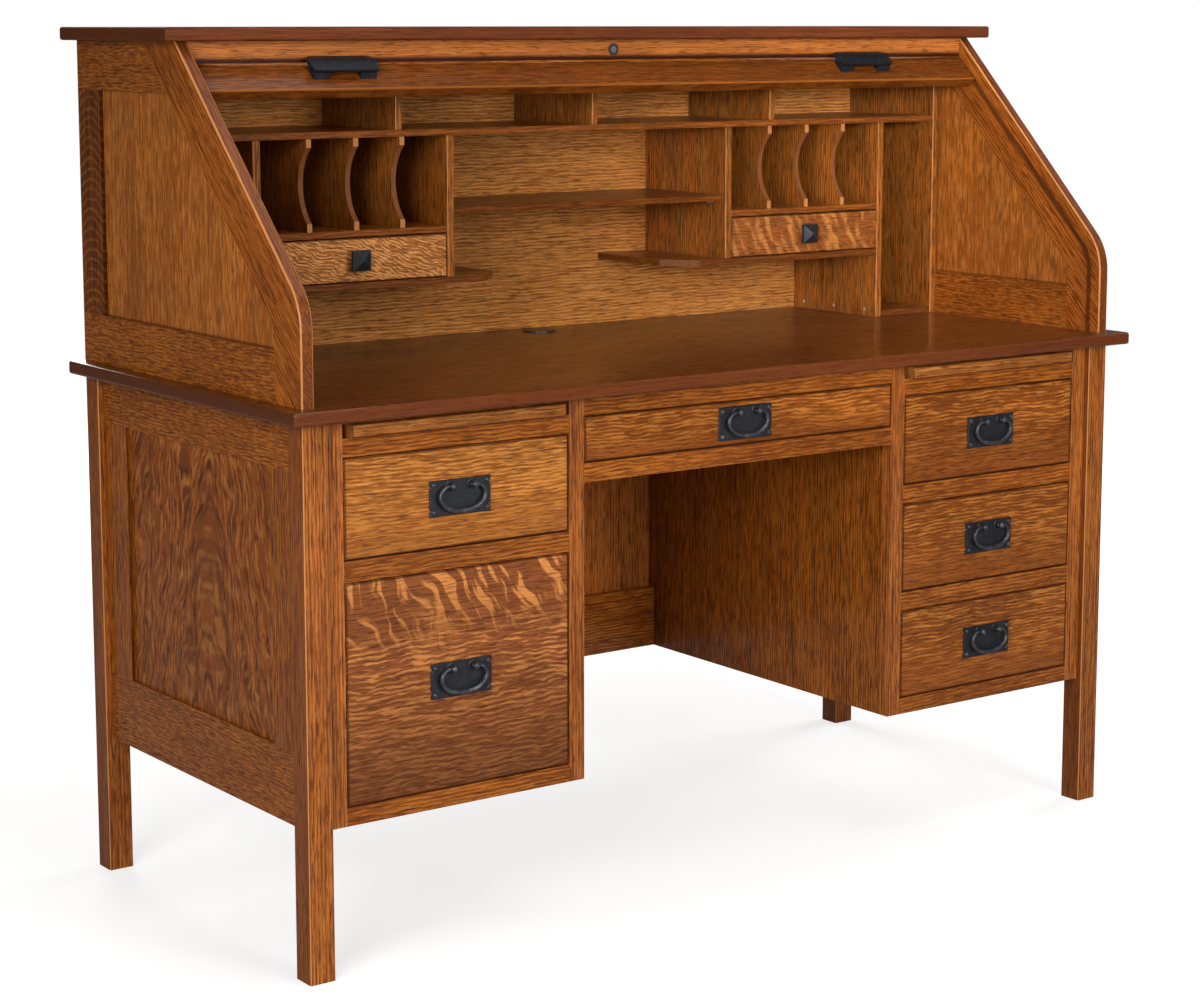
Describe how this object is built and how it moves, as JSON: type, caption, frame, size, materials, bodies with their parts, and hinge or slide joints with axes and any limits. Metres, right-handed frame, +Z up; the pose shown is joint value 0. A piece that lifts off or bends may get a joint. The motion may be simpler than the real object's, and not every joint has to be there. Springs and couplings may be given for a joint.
{
  "type": "roll-top desk",
  "caption": "Mission style oak roll-top desk with drawer pedestals, pull-out writing boards, a pigeonhole organizer and a sloped tambour that rolls up under the top.",
  "frame": {"origin": "on the floor, under the middle of the desktop's width and depth", "axes": "+X to the sitter's right along the desk's width, +Y from front to back, +Z up"},
  "size_m": [1.524, 0.665, 1.25],
  "materials": {
    "oak": "satin stain, quarter-sawn figure",
    "tray_wood": "clear matt",
    "iron": "matt black, hammered",
    "lock_steel": "satin nickel",
    "grommet_plastic": "satin",
    "canvas": "plain woven"
  },
  "bodies": {
    "case": {"legs": "oak", "side_rails": "oak", "side_stiles": "oak", "side_panels": "oak", "slope_stiles": "oak", "kneehole_sides": "oak", "pedestal_floors": "oak", "face_stiles": "oak", "face_rails": "oak", "back_rails": "oak", "back_stiles": "oak", "back_panels": "oak", "drawer_runners": "tray_wood", "desktop": "oak", "cable_grommet": "grommet_plastic", "top_board": "oak", "valance": "oak", "lock_barrel": "lock_steel", "inner_back": "oak", "organizer_partitions": "oak", "organizer_shelves": "oak", "letter_dividers": "oak", "adjustable_shelf": "oak", "shelf_pins": "lock_steel", "tambour_slats": "oak", "tambour_canvas": "canvas"},
    "roll": {"lift_rail": "oak", "lifts": "iron"},
    "lock": {"lock_plug": "lock_steel"},
    "left_board": {"left_writing_board": "oak"},
    "right_board": {"right_writing_board": "oak"},
    "left_box_drawer": {"left_box_front": "oak", "left_box_tray": "tray_wood", "left_box_plate": "iron"},
    "left_box_bail": {"left_box_bail": "iron"},
    "left_file_drawer": {"left_file_front": "oak", "left_file_tray": "tray_wood", "left_file_plate": "iron"},
    "left_file_bail": {"left_file_bail": "iron"},
    "right_bottom_drawer": {"right_bottom_front": "oak", "right_bottom_tray": "tray_wood", "right_bottom_plate": "iron"},
    "right_bottom_bail": {"right_bottom_bail": "iron"},
    "right_middle_drawer": {"right_middle_front": "oak", "right_middle_tray": "tray_wood", "right_middle_plate": "iron"},
    "right_middle_bail": {"right_middle_bail": "iron"},
    "right_top_drawer": {"right_top_front": "oak", "right_top_tray": "tray_wood", "right_top_plate": "iron"},
    "right_top_bail": {"right_top_bail": "iron"},
    "pencil_drawer": {"pencil_front": "oak", "pencil_tray": "tray_wood", "pencil_plate": "iron"},
    "pencil_bail": {"pencil_bail": "iron"},
    "left_letter_drawer": {"left_letter_drawer": "oak", "left_letter_drawer_knob": "iron"},
    "right_letter_drawer": {"right_letter_drawer": "oak", "right_letter_drawer_knob": "iron"}
  },
  "joints": [
    {"name": "roll_slide", "type": "slide", "parent": "case", "child": "roll", "axis": [0, -0.7071, -0.7071], "range_m": [0, 0.35]},
    {"name": "lock_turn", "type": "hinge", "parent": "case", "child": "lock", "pos_m": [0, 0.0245, 1.216], "axis": [0, 1, 0], "range_deg": [0, 90]},
    {"name": "left_board_slide", "type": "slide", "parent": "case", "child": "left_board", "axis": [0, -1, 0], "range_m": [0, 0.35]},
    {"name": "right_board_slide", "type": "slide", "parent": "case", "child": "right_board", "axis": [0, -1, 0], "range_m": [0, 0.35]},
    {"name": "left_box_slide", "type": "slide", "parent": "case", "child": "left_box_drawer", "axis": [0, -1, 0], "range_m": [0, 0.4]},
    {"name": "left_box_bail_swing", "type": "hinge", "parent": "left_box_drawer", "child": "left_box_bail", "pos_m": [-0.491, -0.306, 0.6445], "axis": [-1, 0, 0], "range_deg": [0, 80]},
    {"name": "left_file_slide", "type": "slide", "parent": "case", "child": "left_file_drawer", "axis": [0, -1, 0], "range_m": [0, 0.4]},
    {"name": "left_file_bail_swing", "type": "hinge", "parent": "left_file_drawer", "child": "left_file_bail", "pos_m": [-0.491, -0.306, 0.3955], "axis": [-1, 0, 0], "range_deg": [0, 80]},
    {"name": "right_bottom_slide", "type": "slide", "parent": "case", "child": "right_bottom_drawer", "axis": [0, -1, 0], "range_m": [0, 0.4]},
    {"name": "right_bottom_bail_swing", "type": "hinge", "parent": "right_bottom_drawer", "child": "right_bottom_bail", "pos_m": [0.491, -0.306, 0.3125], "axis": [-1, 0, 0], "range_deg": [0, 80]},
    {"name": "right_middle_slide", "type": "slide", "parent": "case", "child": "right_middle_drawer", "axis": [0, -1, 0], "range_m": [0, 0.4]},
    {"name": "right_middle_bail_swing", "type": "hinge", "parent": "right_middle_drawer", "child": "right_middle_bail", "pos_m": [0.491, -0.306, 0.4785], "axis": [-1, 0, 0], "range_deg": [0, 80]},
    {"name": "right_top_slide", "type": "slide", "parent": "case", "child": "right_top_drawer", "axis": [0, -1, 0], "range_m": [0, 0.4]},
    {"name": "right_top_bail_swing", "type": "hinge", "parent": "right_top_drawer", "child": "right_top_bail", "pos_m": [0.491, -0.306, 0.6445], "axis": [-1, 0, 0], "range_deg": [0, 80]},
    {"name": "pencil_slide", "type": "slide", "parent": "case", "child": "pencil_drawer", "axis": [0, -1, 0], "range_m": [0, 0.33]},
    {"name": "pencil_bail_swing", "type": "hinge", "parent": "pencil_drawer", "child": "pencil_bail", "pos_m": [0, -0.306, 0.7015], "axis": [-1, 0, 0], "range_deg": [0, 80]},
    {"name": "left_letter_drawer_slide", "type": "slide", "parent": "case", "child": "left_letter_drawer", "axis": [0, -1, 0], "range_m": [0, 0.13]},
    {"name": "right_letter_drawer_slide", "type": "slide", "parent": "case", "child": "right_letter_drawer", "axis": [0, -1, 0], "range_m": [0, 0.13]}
  ]
}
